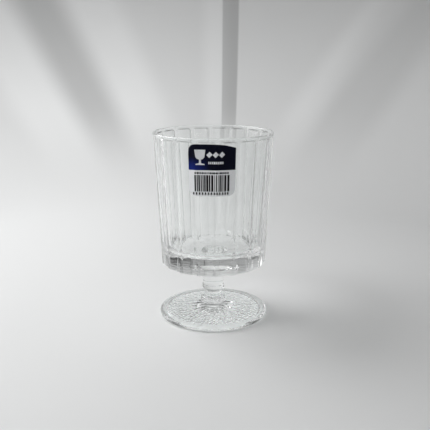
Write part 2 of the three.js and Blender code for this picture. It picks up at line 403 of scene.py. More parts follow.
def turned(name, points, angles, shares=None, joint_low=False, joint_high=False):
    """A mesh turned from points that start on the axis, closed where they end there too.

    A joint end is flagged and sharp. Shares names the attributes of the points, each with the rule that
    gives its value.
    """
    shape = bmesh.new()
    layers = [(shape.verts.layers.float.new(label), rule) for label, rule in (shares or {}).items()]
    joint = shape.faces.layers.int.new("joint")
    rings = []
    for point in points:
        if point.x < NEAR_AXIS:
            ring = [shape.verts.new((0, 0, point.y))]
        else:
            ring = [shape.verts.new((point.x * math.cos(a), point.x * math.sin(a), point.y))
                    for a in angles]
        for layer, rule in layers:
            for vert in ring:
                vert[layer] = rule(point)
        rings.append(ring)
    for level, (lower, upper) in enumerate(zip(rings, rings[1:])):
        flagged = (joint_low and level == 0) or (joint_high and level == len(rings) - 2)
        for column in range(len(angles)):
            following = (column + 1) % len(angles)
            corners = [lower[column % len(lower)], lower[following % len(lower)],
                       upper[following % len(upper)], upper[column % len(upper)]]
            face = shape.faces.new(list(dict.fromkeys(corners)))
            face.smooth = True
            face[joint] = int(flagged)
    for edge in shape.edges:
        kinds = {face[joint] for face in edge.link_faces}
        edge.smooth = len(kinds) == 1
    return mesh_object(name, shape)


def mesh_object(name, shape):
    """An object at the origin that holds the shape."""
    mesh = bpy.data.meshes.new(name)
    shape.to_mesh(mesh)
    shape.free()
    piece = bpy.data.objects.new(name, mesh)
    bpy.context.scene.collection.objects.link(piece)
    return piece


def add_tree(piece, tree, values):
    """Puts a node tree on a piece, with its inputs set by their sockets' identifiers."""
    modifier = piece.modifiers.new(tree.name, "NODES")
    modifier.node_group = tree
    for item in tree.interface.items_tree:
        if item.item_type == "SOCKET" and item.in_out == "INPUT" and item.name in values:
            modifier[item.identifier] = values[item.name]


def make_plain(piece):
    """Turns what the piece's node trees make into its own mesh."""
    graph = bpy.context.evaluated_depsgraph_get()
    mesh = bpy.data.meshes.new_from_object(
        piece.evaluated_get(graph), preserve_all_data_layers=True, depsgraph=graph)
    piece.modifiers.clear()
    spare = piece.data
    piece.data = mesh
    bpy.data.meshes.remove(spare)
    mesh.name = piece.name
    if not mesh.polygons:
        raise RuntimeError(piece.name + " came out empty")


def settle(piece, node=None):
    """Names what a finished piece rides on, and hides the solid that it stands for."""
    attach(piece, "root")
    if node:
        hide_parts(node)


def panel_rule():
    """Group: the share of its radius that the outer wall keeps at an angle and a height."""
    name = "Panel rule"
    if name in bpy.data.node_groups:
        return bpy.data.node_groups[name]
    inputs = [(label, FLOAT) for label in ("Angle", "Radius", "Height") + PANEL_SOCKETS]
    w = Wiring.group(name, "GeometryNodeTree", inputs, [("Keep", FLOAT)])
    g = w.given
    turns = w.over(w.minus(g["Angle"], FRONT), FULL_TURN)
    place = w.minus(w.math("FRACT", w.times(turns, g["Panel Count"])), HALF)
    aside = w.over(w.times(place, FULL_TURN), g["Panel Count"])
    flat = w.over(w.math("COSINE", g["Flat Angle"]), w.math("COSINE", aside))
    flatness = w.ramp(g["Height"], g["Panel Foot"], g["Panel Top"], g["Flatness Low"], g["Flatness High"],
                      smooth=False)
    hollow = w.times(w.math("MAXIMUM", w.minus(1.0, flat), 0.0), flatness)
    depth = w.plus(w.over(g["Recess"], g["Radius"]), hollow)
    reach = w.minus(w.math("ABSOLUTE", aside), g["Flat Angle"])
    across = w.plus(w.times(reach, g["Radius"]), g["Corner"])
    above = w.plus(w.minus(g["Height"], g["Panel Top"]), g["Corner"])
    past_side = w.math("POWER", w.math("MAXIMUM", across, 0.0), 2.0)
    past_top = w.math("POWER", w.math("MAXIMUM", above, 0.0), 2.0)
    outside = w.math("SQRT", w.plus(past_side, past_top))
    inside = w.math("MINIMUM", w.math("MAXIMUM", across, above), 0.0)
    distance = w.minus(w.plus(outside, inside), g["Corner"])
    soft = w.times(g["Softness"], -1.0)
    mask = w.ramp(distance, soft, g["Softness"], 1.0, 0.0)
    return w.give(Keep=w.minus(1.0, w.times(depth, mask)))


def polar(w):
    """The parts of a point's place: across, along, height, radius and angle."""
    place = w.add("GeometryNodeInputPosition").outputs[0]
    parts = w.add("ShaderNodeSeparateXYZ", None, {"Vector": place}).outputs
    squares = w.plus(w.math("POWER", parts[0], 2.0), w.math("POWER", parts[1], 2.0))
    return parts[0], parts[1], parts[2], w.math("SQRT", squares), w.math("ARCTAN2", parts[1], parts[0])


def reached(w, label):
    """How much of the press or of the waves reaches a point."""
    node = w.add("GeometryNodeInputNamedAttribute", {"data_type": "FLOAT"}, {"Name": label})
    return live(node.outputs, "Attribute")


def kept_share(w, angle, radius, height):
    """What the panel rule gives at a place, with the tree's own inputs."""
    values = {label: w.given[label] for label in PANEL_SOCKETS}
    values.update({"Angle": angle, "Radius": radius, "Height": height})
    return w.use(panel_rule(), values).outputs["Keep"]


def moved(w, socket, **parts):
    """The tree's geometry with its points at a new place or shifted by an offset, as the socket says."""
    vector = w.add("ShaderNodeCombineXYZ", None, parts).outputs[0]
    node = w.add("GeometryNodeSetPosition", None, {"Geometry": w.given["Geometry"], socket: vector})
    return node.outputs[0]


def finish_tree(w, geometry, joint=True):
    """Ends a tree with real geometry and its materials."""
    real = w.add("GeometryNodeRealizeInstances", None, {"Geometry": geometry})
    skin = w.add("GeometryNodeSetMaterial", None, {
        "Geometry": real.outputs[0], "Material": w.given["Material"]})
    if not joint:
        return w.give(Geometry=skin.outputs[0])
    flagged = w.add("GeometryNodeInputNamedAttribute", {"data_type": "INT"}, {"Name": "joint"})
    fused = w.add("GeometryNodeSetMaterial", None, {
        "Geometry": skin.outputs[0],
        "Selection": live(flagged.outputs, "Attribute"),
        "Material": w.given["Joint Material"]})
    return w.give(Geometry=fused.outputs[0])


def press_panels_tree():
    """Tree: presses the flat panels into a round wall, and waves into the floor and the underside."""
    inputs = [("Geometry", GEOMETRY), ("Wave Size", FLOAT), ("Wave Depth", FLOAT)]
    inputs += [(label, FLOAT) for label in PANEL_SOCKETS]
    inputs += [("Material", MATERIAL), ("Joint Material", MATERIAL)]
    w = Wiring.group("Press panels", "GeometryNodeTree", inputs, [("Geometry", GEOMETRY)])
    across, along, height, radius, angle = polar(w)
    keep = kept_share(w, angle, radius, height)
    loss = w.times(w.minus(1.0, keep), reached(w, "press"))
    scale = w.minus(1.0, loss)
    noise = w.add("ShaderNodeTexNoise", {"noise_dimensions": "3D"}, {
        "Vector": w.add("GeometryNodeInputPosition").outputs[0],
        "Scale": w.over(1.0, w.given["Wave Size"]), "Detail": 1.0})
    wave = w.times(w.minus(noise.outputs[0], HALF), w.given["Wave Depth"])
    wave = w.times(wave, reached(w, "wave"))
    return finish_tree(w, moved(
        w, "Position", X=w.times(across, scale), Y=w.times(along, scale),
        Z=w.plus(height, wave)))


def press_star_tree():
    """Tree: presses icy facets and long and short diamond grooves into a flat underside."""
    groove = ("Tip", "Length", "Width", "Depth")
    inputs = [("Geometry", GEOMETRY), ("Rays", FLOAT)]
    inputs += [("Frost " + label, FLOAT) for label in ("Size", "Depth", "Start")]
    inputs += [(kind + " " + label, FLOAT) for kind in ("Long", "Short") for label in groove]
    inputs += [("Material", MATERIAL), ("Joint Material", MATERIAL)]
    w = Wiring.group("Press star", "GeometryNodeTree", inputs, [("Geometry", GEOMETRY)])
    g = w.given
    _, _, _, radius, angle = polar(w)
    turns = w.times(w.over(w.minus(angle, FRONT), FULL_TURN), g["Rays"])
    depths = []
    for kind, offset in (("Long", HALF), ("Short", 0.0)):
        place = w.minus(w.math("FRACT", w.plus(turns, offset)), HALF)
        aside = w.over(w.times(place, FULL_TURN), g["Rays"])
        half = w.times(g[kind + " Length"], HALF)
        middle = w.minus(g[kind + " Tip"], half)
        on_ray = w.minus(w.times(radius, w.math("COSINE", aside)), middle)
        off_ray = w.times(radius, w.math("SINE", aside))
        run = w.over(w.math("ABSOLUTE", on_ray), half)
        spread = w.over(w.math("ABSOLUTE", off_ray), w.times(g[kind + " Width"], HALF))
        part = w.minus(1.0, w.plus(run, spread))
        depths.append(w.times(w.math("MAXIMUM", part, 0.0), g[kind + " Depth"]))
    facet = w.add("ShaderNodeTexVoronoi", {"voronoi_dimensions": "2D", "feature": "F1"}, {
        "Vector": w.add("GeometryNodeInputPosition").outputs[0],
        "Scale": w.over(1.0, g["Frost Size"])})
    frost = w.times(w.ramp(facet.outputs["Distance"], 0.0, FACET_REACH, 1.0, 0.0), g["Frost Depth"])
    frosted = w.ramp(w.minus(radius, g["Frost Start"]), 0.0, g["Frost Size"], 0.0, 1.0)
    frost = w.times(frost, frosted)
    lift = w.times(w.plus(w.math("MAXIMUM", *depths), frost), reached(w, "press"))
    return finish_tree(w, moved(w, "Offset", Z=lift))


def wrap_tree():
    """Tree: bends flat print round the panelled wall.

    How far a point lies towards the front becomes its lift from the wall.
    """
    wall = ("Turn", "Lower Edge", "Height", "Lower Radius", "Upper Radius", "Middle Radius")
    inputs = [("Geometry", GEOMETRY)] + [(label, FLOAT) for label in wall + PANEL_SOCKETS]
    inputs += [("Material", MATERIAL)]
    w = Wiring.group("Wrap on wall", "GeometryNodeTree", inputs, [("Geometry", GEOMETRY)])
    g = w.given
    across, along, height, _, _ = polar(w)
    angle = w.plus(w.plus(w.over(across, g["Middle Radius"]), g["Turn"]), FRONT)
    rise = w.over(w.minus(height, g["Lower Edge"]), g["Height"])
    widening = w.minus(g["Upper Radius"], g["Lower Radius"])
    radius = w.plus(g["Lower Radius"], w.times(rise, widening))
    keep = kept_share(w, angle, radius, height)
    reach = w.minus(w.times(radius, keep), along)
    return finish_tree(w, moved(
        w, "Position", X=w.times(reach, w.math("COSINE", angle)),
        Y=w.times(reach, w.math("SINE", angle)), Z=height), joint=False)


def marks_tree():
    """Tree: a row of thin upright marks whose widths and gaps are drawn by a fixed seed."""
    inputs = [("Geometry", GEOMETRY), ("Count", INTEGER), ("Narrowest", INTEGER), ("Widest", INTEGER),
              ("Closest", INTEGER), ("Farthest", INTEGER), ("Seed", INTEGER), ("Row Width", FLOAT),
              ("Mark Height", FLOAT), ("Thickness", FLOAT), ("Tilt", FLOAT), ("Middle", VECTOR),
              ("Material", MATERIAL)]
    w = Wiring.group("Row of marks", "GeometryNodeTree", inputs, [("Geometry", GEOMETRY)])
    g = w.given
    line = w.add("GeometryNodeMeshLine", {"mode": "OFFSET", "count_mode": "TOTAL"}, {"Count": g["Count"]})
    wide = w.add("FunctionNodeRandomValue", {"data_type": "INT"}, {
        "Min": g["Narrowest"], "Max": g["Widest"], "Seed": g["Seed"]})
    apart = w.add("FunctionNodeRandomValue", {"data_type": "INT"}, {
        "Min": g["Closest"], "Max": g["Farthest"], "Seed": w.plus(g["Seed"], 1.0)})
    width = live(wide.outputs, "Value")
    step = w.plus(width, live(apart.outputs, "Value"))
    sums = w.add("GeometryNodeAccumulateField", {"data_type": "FLOAT"}, {"Value": step})
    unit = w.over(g["Row Width"], live(sums.outputs, "Total"))
    centre = w.plus(live(sums.outputs, "Trailing"), w.times(step, HALF))
    start = w.times(g["Row Width"], HALF)
    across = w.minus(w.times(centre, unit), start)
    beside = w.add("ShaderNodeCombineXYZ", None, {"X": across}).outputs[0]
    place = w.math("ADD", beside, g["Middle"], kind=VECTOR_MATH)
    points = w.add("GeometryNodeSetPosition", None, {
        "Geometry": line.outputs[0], "Position": place})
    block = w.add("GeometryNodeMeshCube", None, {
        "Size": (1.0, 1.0, 1.0), "Vertices X": MARK_POINTS, "Vertices Z": MARK_POINTS})
    size = w.add("ShaderNodeCombineXYZ", None, {
        "X": w.times(width, unit), "Y": g["Thickness"], "Z": g["Mark Height"]})
    tilt = w.add("ShaderNodeCombineXYZ", None, {"Y": g["Tilt"]})
    marks = w.add("GeometryNodeInstanceOnPoints", None, {
        "Points": points.outputs[0], "Instance": block.outputs[0],
        "Rotation": tilt.outputs[0], "Scale": size.outputs[0]})
    return finish_tree(w, marks.outputs[0], joint=False)


def skin_group():
    """Group: ripples and faint scuffs of pressed glass, as a roughness and a height."""
    name = "Pressed skin"
    if name in bpy.data.node_groups:
        return bpy.data.node_groups[name]
    inputs = [(label, FLOAT) for label in ("Ripple Scale", "Scuff Scale", "Polish", "Scuff")]
    w = Wiring.group(name, "ShaderNodeTree", inputs, [("Roughness", FLOAT), ("Height", FLOAT)])
    g = w.given
    marked = w.ramp(w.noise(g["Scuff Scale"], SCUFF_NOISE), *SCUFF_RANGE, 0.0, 1.0)
    rough = w.plus(g["Polish"], w.times(marked, g["Scuff"]))
    return w.give(Roughness=rough, Height=w.noise(g["Ripple Scale"], RIPPLE_NOISE))


def print_group():
    """Group: fine grain and unevenness of a printed sheet, as a shade and a height."""
    name = "Printed sheet"
    if name in bpy.data.node_groups:
        return bpy.data.node_groups[name]
    inputs = [(label, FLOAT) for label in ("Grain Scale", "Blotch Scale", "Unevenness")]
    w = Wiring.group(name, "ShaderNodeTree", inputs, [("Shade", FLOAT), ("Height", FLOAT)])
    g = w.given
    grain = w.noise(g["Grain Scale"], GRAIN_NOISE)
    mixed = w.times(w.plus(grain, w.noise(g["Blotch Scale"], BLOTCH_NOISE)), HALF)
    low = w.minus(1.0, g["Unevenness"])
    return w.give(Shade=w.ramp(mixed, *PRINT_RANGE, low, 1.0), Height=grain)


def principled(name):
    """A new material, its wiring and its shader."""
    material = bpy.data.materials.new(name)
    material.use_nodes = True
    shader = material.node_tree.nodes["Principled BSDF"]
    return material, Wiring(material.node_tree), shader


def clear_glass(name, look, ripple_scale, ripple_height):
    """Clear pressed glass with the ripple of its mould."""
    material, w, shader = principled(name)
    skin = w.use(skin_group(), {
        "Ripple Scale": ripple_scale, "Scuff Scale": SCUFF_SCALE,
        "Polish": look.polish, "Scuff": look.scuff})
    w.fill(shader, {
        "Base Color": (*look.tint, 1.0), "IOR": look.ior, "Transmission Weight": 1.0,
        "Roughness": skin.outputs["Roughness"], "Normal": w.bump(ripple_height, skin.outputs["Height"])})
    return material


def fused_joint():
    """The inner face where two pieces of glass melted together, which shows nothing."""
    name = "Fused joint"
    if name in bpy.data.materials:
        return bpy.data.materials[name]
    material, _, shader = principled(name)
    shader.inputs["Alpha"].default_value = 0.0
    return material


def printed(name, ink, second=None, roughness=0.3, unevenness=0.12):
    """A printed colour, with a second one that shows in its lower left corner."""
    material, w, shader = principled(name)
    sheet = w.use(print_group(), {
        "Grain Scale": GRAIN_SCALE, "Blotch Scale": BLOTCH_SCALE, "Unevenness": unevenness})
    plain = (*ink, 1.0)
    if second:
        place = w.add("ShaderNodeTexCoord").outputs["Object"]
        parts = w.add("ShaderNodeSeparateXYZ", None, {"Vector": place}).outputs
        low = w.ramp(parts["Z"], second["top"], second["bottom"], 0.0, 1.0)
        left = w.ramp(parts["X"], second["right"], second["left"], 0.0, 1.0)
        plain = w.blend(plain, (*second["ink"], 1.0), w.times(low, left))
    shade = sheet.outputs["Shade"]
    dull = roughness * PRINT_DULLING
    w.fill(shader, {
        "Specular IOR Level": PRINT_GLOSS, "Base Color": w.blend(plain, shade, kind="MULTIPLY"),
        "Roughness": w.ramp(shade, 1.0 - unevenness, 1.0, dull, roughness, smooth=False),
        "Normal": w.bump(GRAIN_DEPTH, sheet.outputs["Height"])})
    return material


def wall_radius(bowl, height):
    """Radius of the ridges of the outer wall."""
    rise = (height - (RIM - bowl.height)) / bowl.height
    return bowl.lower_radius + (bowl.rim_radius - bowl.lower_radius) * rise


def panel_values(bowl):
    """Inputs of the panel rule."""
    return {
        "Panel Count": float(bowl.panels),
        "Flat Angle": math.pi / bowl.panels - bowl.ridge / (2 * bowl.rim_radius),
        "Panel Foot": RIM - bowl.height,
        "Panel Top": RIM - bowl.panel_drop,
        "Corner": bowl.panel_corner,
        "Softness": bowl.panel_soft,
        "Recess": bowl.panel_recess,
        "Flatness Low": bowl.panel_flat_low,
        "Flatness High": bowl.panel_flat_high,
    }


def panel_angles(bowl):
    """Columns of the bowl, close together at the edges of the panels."""
    half = math.pi / bowl.panels
    sides = [-side for side in reversed(PANEL_COLUMNS[1:])] + list(PANEL_COLUMNS[:-1])
    return [FRONT + half * (2 * panel + 1 + side) for panel in range(bowl.panels) for side in sides]


def eased(part):
    """A share that is held between 0 and 1 and eased at both ends."""
    part = min(1.0, max(0.0, part))
    return part * part * (3 - 2 * part)


def even_angles(columns):
    """Columns at equal steps from the front."""
    return [FRONT + FULL_TURN * column / columns for column in range(columns)]


class GLASS_OT_bowl(bpy.types.Operator):
    """Makes the cup: a round blank with flat panels pressed into its wall"""
    bl_idname = "icecreamglass.bowl"
    bl_label = "Press bowl"

    RIPPLE_SCALE = 70.0
    RIPPLE_HEIGHT = 0.006 * MM

    def execute(self, context):
        bowl = context.scene.glass_bowl
        lower_edge = RIM - bowl.height
        floor = lower_edge + bowl.base
        inner = wall_radius(bowl, floor) - bowl.floor_wall
        corners = [
            (0, BOWL_JOINT), (bowl.boss_radius, BOWL_JOINT),
            (bowl.boss_radius, BOWL_JOINT + bowl.boss_height, bowl.boss_cove),
            (bowl.lower_radius, lower_edge, bowl.lower_round),
            (bowl.rim_radius, RIM, bowl.lip_round),
            (bowl.rim_radius - bowl.lip, RIM, bowl.lip_round),
            (inner, floor, bowl.floor_fillet), (0, floor),
        ]
        panel_end = RIM - bowl.panel_drop

        def outside(point):
            return point.x > wall_radius(bowl, point.y) - bowl.lower_round

        def row(point):
            if outside(point):
                near_end = abs(point.y - panel_end + bowl.panel_corner / 2) < bowl.panel_corner
                return PANEL_END_ROW if near_end else WALL_ROW
            return WAVE_ROW if wave(point) else INNER_ROW

        def press(point):
            reach = point.x - (bowl.lower_radius - 2 * bowl.lower_round)
            return eased(reach / bowl.lower_round) if outside(point) or point.y < floor else 0.0

        def wave(point):
            on_wall = outside(point) and point.y > lower_edge + bowl.lower_round
            if on_wall or point.y > floor + bowl.floor_fillet:
                return 0.0
            past_boss = (point.x - bowl.boss_radius - bowl.boss_cove) / bowl.boss_cove
            return 1.0 if point.y >= floor else min(1.0, max(0.0, past_boss))

        outer_top = Vector((wall_radius(bowl, panel_end + bowl.panel_soft), panel_end + bowl.panel_soft))
        outer_low = Vector((wall_radius(bowl, panel_end - 2 * bowl.panel_corner),
                            panel_end - 2 * bowl.panel_corner))
        points = rounded(corners)
        rim_start = next(i for i, point in enumerate(points) if point.y > panel_end)
        points[rim_start:rim_start] = [outer_low, outer_top]
        piece = turned("bowl_glass", with_rows(points, row), panel_angles(bowl),
                       {"press": press, "wave": wave}, joint_low=True)
        skin = clear_glass("Bowl glass", context.scene.glass_look, self.RIPPLE_SCALE, self.RIPPLE_HEIGHT)
        add_tree(piece, press_panels_tree(), {
            **panel_values(bowl), "Wave Size": bowl.wave_size, "Wave Depth": bowl.wave_depth,
            "Material": skin, "Joint Material": fused_joint()})
        make_plain(piece)
        settle(piece, "bowl")
        return {"FINISHED"}


class GLASS_OT_stem(bpy.types.Operator):
    """Makes the stem: neck, bead, waist and collar in one turned piece"""
    bl_idname = "icecreamglass.stem"
    bl_label = "Turn stem"

    RIPPLE_SCALE = 160.0
    RIPPLE_HEIGHT = 0.04 * MM

    def execute(self, context):
        stem = context.scene.glass_stem
        boss = context.scene.glass_bowl.boss_radius
        low = FOOT_JOINT + JOINT_GAP
        high = BOWL_JOINT - JOINT_GAP
        collar_top = FOOT_JOINT + stem.collar_height
        waist_top = collar_top + stem.waist_length
        bead_foot = waist_top + stem.bead_slope
        bead_top = bead_foot + stem.bead_length
        points = rounded([
            (0, low), (stem.flare_radius, low),
            (stem.collar_radius, FOOT_JOINT + stem.flare_height, stem.flare_cove),
            (stem.collar_radius, collar_top, stem.collar_round),
            (stem.waist_radius, collar_top, stem.ring_round),
            (stem.waist_radius, waist_top, stem.waist_cove),
            (stem.bead_radius, bead_foot, stem.ring_round),
            (stem.bead_radius, bead_top, stem.ring_round),
            (stem.neck_radius, bead_top, stem.ring_round),
            (stem.neck_radius, BOWL_JOINT - stem.neck_spread, stem.neck_cove),
            (boss, high), (0, high),
        ])
        inside = with_rows(points[1:-1], lambda point: PLAIN_ROW)
        piece = turned("stem_glass", [points[0], *inside, points[-1]], even_angles(STEM_COLUMNS),
                       joint_low=True, joint_high=True)
        skin = clear_glass("Stem glass", context.scene.glass_look, self.RIPPLE_SCALE, self.RIPPLE_HEIGHT)
        piece.data.materials.append(skin)
        piece.data.materials.append(fused_joint())
        flags = piece.data.attributes["joint"].data
        for face in piece.data.polygons:
            face.material_index = flags[face.index].value
        settle(piece, "stem")
        return {"FINISHED"}


class GLASS_OT_foot(bpy.types.Operator):
    """Makes the foot: a round disc with a star of grooves pressed under it"""
    bl_idname = "icecreamglass.foot"
    bl_label = "Press foot"

    RIPPLE_SCALE = 110.0
    RIPPLE_HEIGHT = 0.05 * MM

    def execute(self, context):
        foot = context.scene.glass_foot
        flare = context.scene.glass_stem.flare_radius
        rest_outer = foot.radius - foot.rest_inset
        rest_inner = rest_outer - foot.rest_width
        recess_radius = rest_inner - foot.recess_slope
        points = rounded([
            (0, foot.recess), (recess_radius, foot.recess), (rest_inner, 0), (rest_outer, 0),
            (foot.radius, foot.undercut, foot.edge_round), (foot.radius, foot.edge, foot.edge_round),
            (flare + foot.hub_spread, foot.edge + foot.rise, foot.hub_cove),
            (flare, FOOT_JOINT), (0, FOOT_JOINT),
        ])

        def underside(point):
            return point.x <= recess_radius and point.y <= foot.recess + NEAR_AXIS

        inside = with_rows(points[:-1], lambda point: STAR_ROW if underside(point) else PLAIN_ROW)
        piece = turned("foot_glass", [*inside, points[-1]], even_angles(FOOT_COLUMNS_PER_RAY * foot.rays),
                       {"press": lambda point: float(underside(point))}, joint_high=True)
        skin = clear_glass("Foot glass", context.scene.glass_look, self.RIPPLE_SCALE, self.RIPPLE_HEIGHT)
        add_tree(piece, press_star_tree(), {
            "Rays": float(foot.rays), "Frost Size": foot.frost_size, "Frost Depth": foot.frost_depth,
            "Frost Start": foot.frost_start,
            "Long Tip": recess_radius - foot.long_margin, "Short Tip": recess_radius - foot.short_margin,
            **{kind + " " + size: getattr(foot, (kind + "_" + size).lower())
               for kind in ("Long", "Short") for size in ("Length", "Width", "Depth")},
            "Material": skin, "Joint Material": fused_joint(),
        })
        make_plain(piece)
        settle(piece, "foot")
        return {"FINISHED"}


def curve(start, control, end):
    """Points of a bend from start to end that leans towards control, without its start."""
    points = []
    for step in range(1, OUTLINE_STEPS + 1):
        part = step / OUTLINE_STEPS
        points.append(start.lerp(control, part).lerp(control.lerp(end, part), part))
    return points


def sheet_outline(label, half):
    """Outline of the sticker as (across, up) points, counter-clockwise from its lower left corner."""
    corner = label.corner
    high = label.height
    outline = [Vector((corner - half, 0)), Vector((half - corner, 0))]
    outline += curve(outline[-1], Vector((half, 0)), Vector((half, corner)))
    outline.append(Vector((half, high - label.slant)))
    run = label.slant_run
    outline += curve(outline[-1], Vector((half - run / 2, high)), Vector((half - run, high)))
    outline.append(Vector((corner - half, high)))
    outline += curve(outline[-1], Vector((-half, high)), Vector((-half, high - corner)))
    outline.append(Vector((-half, corner)))
    outline += curve(outline[-1], Vector((-half, 0)), Vector((corner - half, 0)))[:-1]
    return outline


def cup_outline(middle, height):
    """Outline of a small footed cup, counter-clockwise."""
    right = [Vector((middle[0] + x * height, middle[1] + y * height)) for x, y in CUP_SIDE]
    left = [Vector((middle[0] - x * height, middle[1] + y * height)) for x, y in reversed(CUP_SIDE)]
    return right + left


def plate(name, outlines, low, high, base, keep_above=None):
    """A thin closed plate over flat outlines, sliced upright so that it can bend."""
    shape = bmesh.new()
    for outline in outlines:
        shape.faces.new([shape.verts.new((point.x, -high, base + point.y)) for point in outline])
    if keep_above is not None:
        bmesh.ops.bisect_plane(
            shape, geom=shape.verts[:] + shape.edges[:] + shape.faces[:], dist=NEAR_AXIS,
            plane_co=(0, 0, keep_above), plane_no=(0, 0, 1), clear_inner=True)
    reach = max(abs(vert.co.x) for vert in shape.verts)
    slices = math.ceil(reach / LABEL_SLICE)
    for slice_at in range(-slices, slices + 1):
        bmesh.ops.bisect_plane(
            shape, geom=shape.verts[:] + shape.edges[:] + shape.faces[:], dist=NEAR_AXIS,
            plane_co=(slice_at * LABEL_SLICE, 0, 0), plane_no=(1, 0, 0))
    fronts = shape.faces[:]
    borders = [edge for edge in shape.edges if edge.is_boundary]
    behind = {vert: shape.verts.new((vert.co.x, -low, vert.co.z)) for vert in shape.verts[:]}
    for face in fronts:
        shape.faces.new([behind[vert] for vert in reversed(face.verts)])
    for edge in borders:
        first, second = edge.verts
        shape.faces.new([first, second, behind[second], behind[first]])
    bmesh.ops.recalc_face_normals(shape, faces=shape.faces)
    return mesh_object(name, shape)


class GLASS_OT_label(bpy.types.Operator):
    """Makes the sticker: a sheet bent over the panels, and its layers of print"""
    bl_idname = "icecreamglass.label"
    bl_label = "Print label"

    ROYAL_RISE = 9 * MM  # height over which the header's lighter ink fades
    ROYAL_RIGHT = -3 * MM  # where it ends on the right
    EMBLEM_MIDDLE = (-7.3 * MM, 24.4 * MM)
    EMBLEM_HEIGHT = 9.4 * MM
    # Rows of marks: ink, number of marks, ranges of widths and of gaps in units, width of the row and
    # height of a mark in millimetres, tilt in degrees, middle of the row in millimetres, and seed
    ROWS = {
        "label_lozenges": ("white", 3, (2, 2), (1, 1), 11.4, 2.9, 45, (2.3, 26.0), 1),
        "label_header_line": ("white", 9, (2, 5), (1, 2), 9.6, 1.5, 0, (2.4, 21.0), 4),
        "label_caption": ("black", 17, (2, 6), (1, 2), 21.6, 1.2, 0, (-0.2, 14.6), 7),
        "label_bars": ("black", 17, (1, 4), (1, 2), 22.6, 10.4, 0, (0.0, 8.2), 12),
        "label_ticks": ("black", 13, (2, 2), (1, 2), 23.6, 1.6, 0, (-0.8, 1.7), 17),
    }

    def execute(self, context):
        bowl = context.scene.glass_bowl
        label = context.scene.glass_label
        look = context.scene.glass_label_look
        base = RIM - label.top_drop - label.height
        middle_radius = wall_radius(bowl, base + label.height / 2)
        half = middle_radius * math.asin(label.width / 2 / middle_radius)
        wrap = wrap_tree()
        wall = {
            **panel_values(bowl), "Softness": label.drape, "Recess": label.dip, "Turn": label.turn,
            "Lower Edge": RIM - bowl.height, "Height": bowl.height, "Lower Radius": bowl.lower_radius,
            "Upper Radius": bowl.rim_radius, "Middle Radius": middle_radius,
        }
        film = printed("White film", look.film, roughness=0.32, unevenness=0.05)
        header_bottom = base + label.header
        navy = printed("Navy ink", look.navy, {
            "ink": look.royal, "top": header_bottom + self.ROYAL_RISE, "bottom": header_bottom,
            "right": self.ROYAL_RIGHT, "left": -half}, roughness=0.22)
        black = printed("Black ink", look.black, roughness=0.34, unevenness=0.25)
        white = printed("White ink", look.white, roughness=0.3, unevenness=0.1)
        sheet_top = label.glue + label.sheet
        first_low = sheet_top + label.ink_gap
        first_high = first_low + label.ink
        second_low = first_high + label.ink_gap
        second_high = second_low + label.ink

        outline = sheet_outline(label, half)
        sheet = plate("label_film", [outline], label.glue, sheet_top, base)
        header = plate("label_header", [outline], first_low, first_high, base, header_bottom)
        emblem = plate("label_emblem", [cup_outline(self.EMBLEM_MIDDLE, self.EMBLEM_HEIGHT)],
                       second_low, second_high, base)
        for piece, ink in ((sheet, film), (header, navy), (emblem, white)):
            add_tree(piece, wrap, {**wall, "Material": ink})
            make_plain(piece)

        layers = {
            "white": (white, (second_low + second_high) / 2),
            "black": (black, (first_low + first_high) / 2),
        }
        marks = marks_tree()
        made = [sheet, header, emblem]
        for name, (layer, number, widths, gaps, row_width, height, tilt, middle, seed) in self.ROWS.items():
            ink, lift = layers[layer]
            piece = mesh_object(name, bmesh.new())
            add_tree(piece, marks, {
                "Count": number, "Narrowest": widths[0], "Widest": widths[1],
                "Closest": gaps[0], "Farthest": gaps[1], "Seed": seed, "Row Width": row_width * MM,
                "Mark Height": height * MM, "Thickness": label.ink, "Tilt": math.radians(tilt),
                "Middle": (middle[0] * MM, -lift, base + middle[1] * MM), "Material": ink})
            add_tree(piece, wrap, {**wall, "Material": ink})
            make_plain(piece)
            made.append(piece)
        for piece in made:
            settle(piece, "label" if piece is sheet else None)
        return {"FINISHED"}


